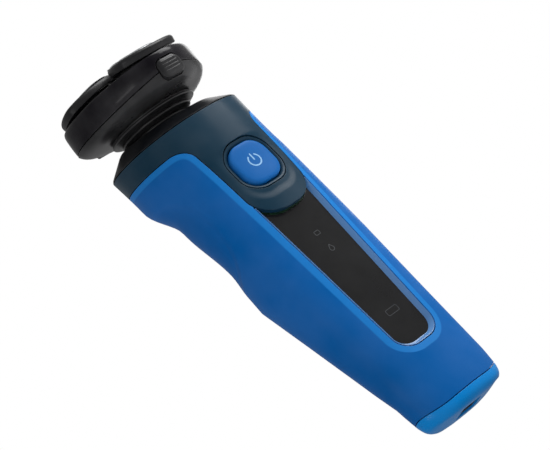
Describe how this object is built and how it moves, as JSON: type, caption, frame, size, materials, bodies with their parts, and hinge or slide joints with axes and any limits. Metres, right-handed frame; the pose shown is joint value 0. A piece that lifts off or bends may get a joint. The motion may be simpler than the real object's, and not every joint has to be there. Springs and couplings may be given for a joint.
{
  "type": "electric shaver",
  "caption": "Cordless rotary shaver with a slim blue handle, dark collar and display, tilting neck and a lobed head of round shaving units.",
  "frame": {"origin": "under the middle of the whole box, at the flat of the base cap", "axes": "+Z from the base to the head, front with the display at -Y, +X to the right seen from the front"},
  "size_m": [0.0524, 0.0562, 0.1682],
  "materials": {
    "body_blue": "satin moulded royal blue",
    "cap_blue": "glossy bright blue",
    "button_blue": "satin-gloss blue",
    "teal_dark": "satin-gloss dark teal",
    "collar_black": "near-black satin-gloss",
    "gloss_black": "deep glossy black cover",
    "trim_blue": "translucent light blue edge strip",
    "charcoal": "fine satin charcoal",
    "holder_black": "glossy purple-black",
    "rubber": "soft dark rubber",
    "blade": "polished and etched steel",
    "steel": "plain steel",
    "brass": "plated contact",
    "nylon": "natural nylon",
    "board": "green circuit board",
    "cell": "shrink-sleeved cell",
    "chassis_grey": "grey moulded nylon"
  },
  "bodies": {
    "handle": {"main_shell": "body_blue", "rear_cover": "body_blue", "collar_panel": "teal_dark", "collar_top": "collar_black", "display_window": "gloss_black", "display_trim": "trim_blue", "base_cap": "cap_blue", "charge_socket": "rubber", "charge_pin_left": "brass", "charge_pin_right": "brass", "button_bezel": "teal_dark", "button_seal": "rubber", "power_switch": "rubber", "main_board": "board", "display_board": "board", "board_screw_low": "steel", "board_screw_high": "steel", "battery_cell": "cell", "battery_tab_low": "steel", "battery_tab_high": "steel", "chassis": "chassis_grey", "motor_can": "steel", "motor_mount": "chassis_grey", "motor_screw_left": "steel", "motor_screw_right": "steel", "shaft_seal": "rubber", "neck_post": "chassis_grey"},
    "power_button": {"power_button": "button_blue"},
    "motor_rotor": {"motor_shaft": "steel", "shaft_coupling": "nylon"},
    "gimbal": {"gimbal_ring": "nylon", "gimbal_pin_left": "steel", "gimbal_pin_right": "steel", "gimbal_pin_front": "steel", "gimbal_pin_back": "steel"},
    "head_base": {"neck_ball": "charcoal", "neck_bellows": "rubber", "gear_plate": "charcoal", "gear_cover": "charcoal", "hair_chamber": "charcoal"},
    "drive_gear": {"drive_gear": "nylon"},
    "release_button": {"release_button": "charcoal"},
    "holder": {"head_holder": "holder_black", "retaining_frame": "nylon", "hinge_pin": "steel"},
    "spindle_front": {"spindle_gear_front": "nylon"},
    "head_front": {"guard_carrier_front": "charcoal", "guard_front": "blade", "guard_cap_front": "charcoal"},
    "cutter_front": {"cutter_front": "steel"},
    "spindle_right": {"spindle_gear_right": "nylon"},
    "head_right": {"guard_carrier_right": "charcoal", "guard_right": "blade", "guard_cap_right": "charcoal"},
    "cutter_right": {"cutter_right": "steel"},
    "spindle_left": {"spindle_gear_left": "nylon"},
    "head_left": {"guard_carrier_left": "charcoal", "guard_left": "blade", "guard_cap_left": "charcoal"},
    "cutter_left": {"cutter_left": "steel"}
  },
  "joints": [
    {"name": "power_press", "type": "slide", "parent": "handle", "child": "power_button", "axis": [0, 1, 0], "range_m": [0, 0.0007], "stiffness_N_per_m": 400, "springref_m": -0.001},
    {"name": "head_pitch", "type": "hinge", "parent": "handle", "child": "gimbal", "pos_m": [0, 0.00343, 0.136], "axis": [1, 0, 0], "range_deg": [-5, 8], "stiffness_Nm_per_rad": 0.3},
    {"name": "head_roll", "type": "hinge", "parent": "gimbal", "child": "head_base", "pos_m": [0, 0.00343, 0.136], "axis": [0, 0.9781, 0.2079], "range_deg": [-8, 8], "stiffness_Nm_per_rad": 0.3},
    {"name": "drive_spin", "type": "hinge", "parent": "head_base", "child": "drive_gear", "pos_m": [0, 0.00343, 0.136], "axis": [0, -0.2079, 0.9781], "continuous": true},
    {"name": "motor_spin", "type": "hinge", "parent": "handle", "child": "motor_rotor", "pos_m": [0, 0.00343, 0.123], "axis": [0, 0, 1], "continuous": true},
    {"name": "release_press", "type": "slide", "parent": "head_base", "child": "release_button", "axis": [0, 0.9781, 0.2079], "range_m": [0, 0.0012], "stiffness_N_per_m": 300, "springref_m": -0.001},
    {"name": "head_open", "type": "hinge", "parent": "head_base", "child": "holder", "pos_m": [0, 0.02642, 0.15602], "axis": [-1, 0, 0], "range_deg": [0, 100]},
    {"name": "spindle_spin_front", "type": "hinge", "parent": "head_base", "child": "spindle_front", "pos_m": [0, -0.0116, 0.1461], "axis": [0, -0.2079, 0.9781], "continuous": true},
    {"name": "float_front", "type": "slide", "parent": "holder", "child": "head_front", "axis": [0, -0.3907, 0.9205], "range_m": [-0.0012, 0], "stiffness_N_per_m": 300, "springref_m": 0.001},
    {"name": "cutter_spin_front", "type": "hinge", "parent": "head_front", "child": "cutter_front", "pos_m": [0, -0.01454, 0.15876], "axis": [0, -0.3907, 0.9205], "continuous": true},
    {"name": "spindle_spin_right", "type": "hinge", "parent": "head_base", "child": "spindle_right", "pos_m": [0.01091, 0.00689, 0.15003], "axis": [0, -0.2079, 0.9781], "continuous": true},
    {"name": "float_right", "type": "slide", "parent": "holder", "child": "head_right", "axis": [0.1652, -0.1108, 0.98], "range_m": [-0.0012, 0], "stiffness_N_per_m": 300, "springref_m": 0.001},
    {"name": "cutter_spin_right", "type": "hinge", "parent": "head_right", "child": "cutter_right", "pos_m": [0.01113, 0.00431, 0.16277], "axis": [0.1652, -0.1108, 0.98], "continuous": true},
    {"name": "spindle_spin_left", "type": "hinge", "parent": "head_base", "child": "spindle_left", "pos_m": [-0.01091, 0.00689, 0.15003], "axis": [0, -0.2079, 0.9781], "continuous": true},
    {"name": "float_left", "type": "slide", "parent": "holder", "child": "head_left", "axis": [-0.1652, -0.1108, 0.98], "range_m": [-0.0012, 0], "stiffness_N_per_m": 300, "springref_m": 0.001},
    {"name": "cutter_spin_left", "type": "hinge", "parent": "head_left", "child": "cutter_left", "pos_m": [-0.01113, 0.00431, 0.16277], "axis": [-0.1652, -0.1108, 0.98], "continuous": true}
  ],
  "couplings": [
    {"joint": "motor_spin", "follows": "drive_spin", "ratio": 1},
    {"joint": "spindle_spin_front", "follows": "drive_spin", "ratio": -0.75},
    {"joint": "cutter_spin_front", "follows": "drive_spin", "ratio": -0.75},
    {"joint": "spindle_spin_right", "follows": "drive_spin", "ratio": -0.75},
    {"joint": "cutter_spin_right", "follows": "drive_spin", "ratio": -0.75},
    {"joint": "spindle_spin_left", "follows": "drive_spin", "ratio": -0.75},
    {"joint": "cutter_spin_left", "follows": "drive_spin", "ratio": -0.75}
  ]
}
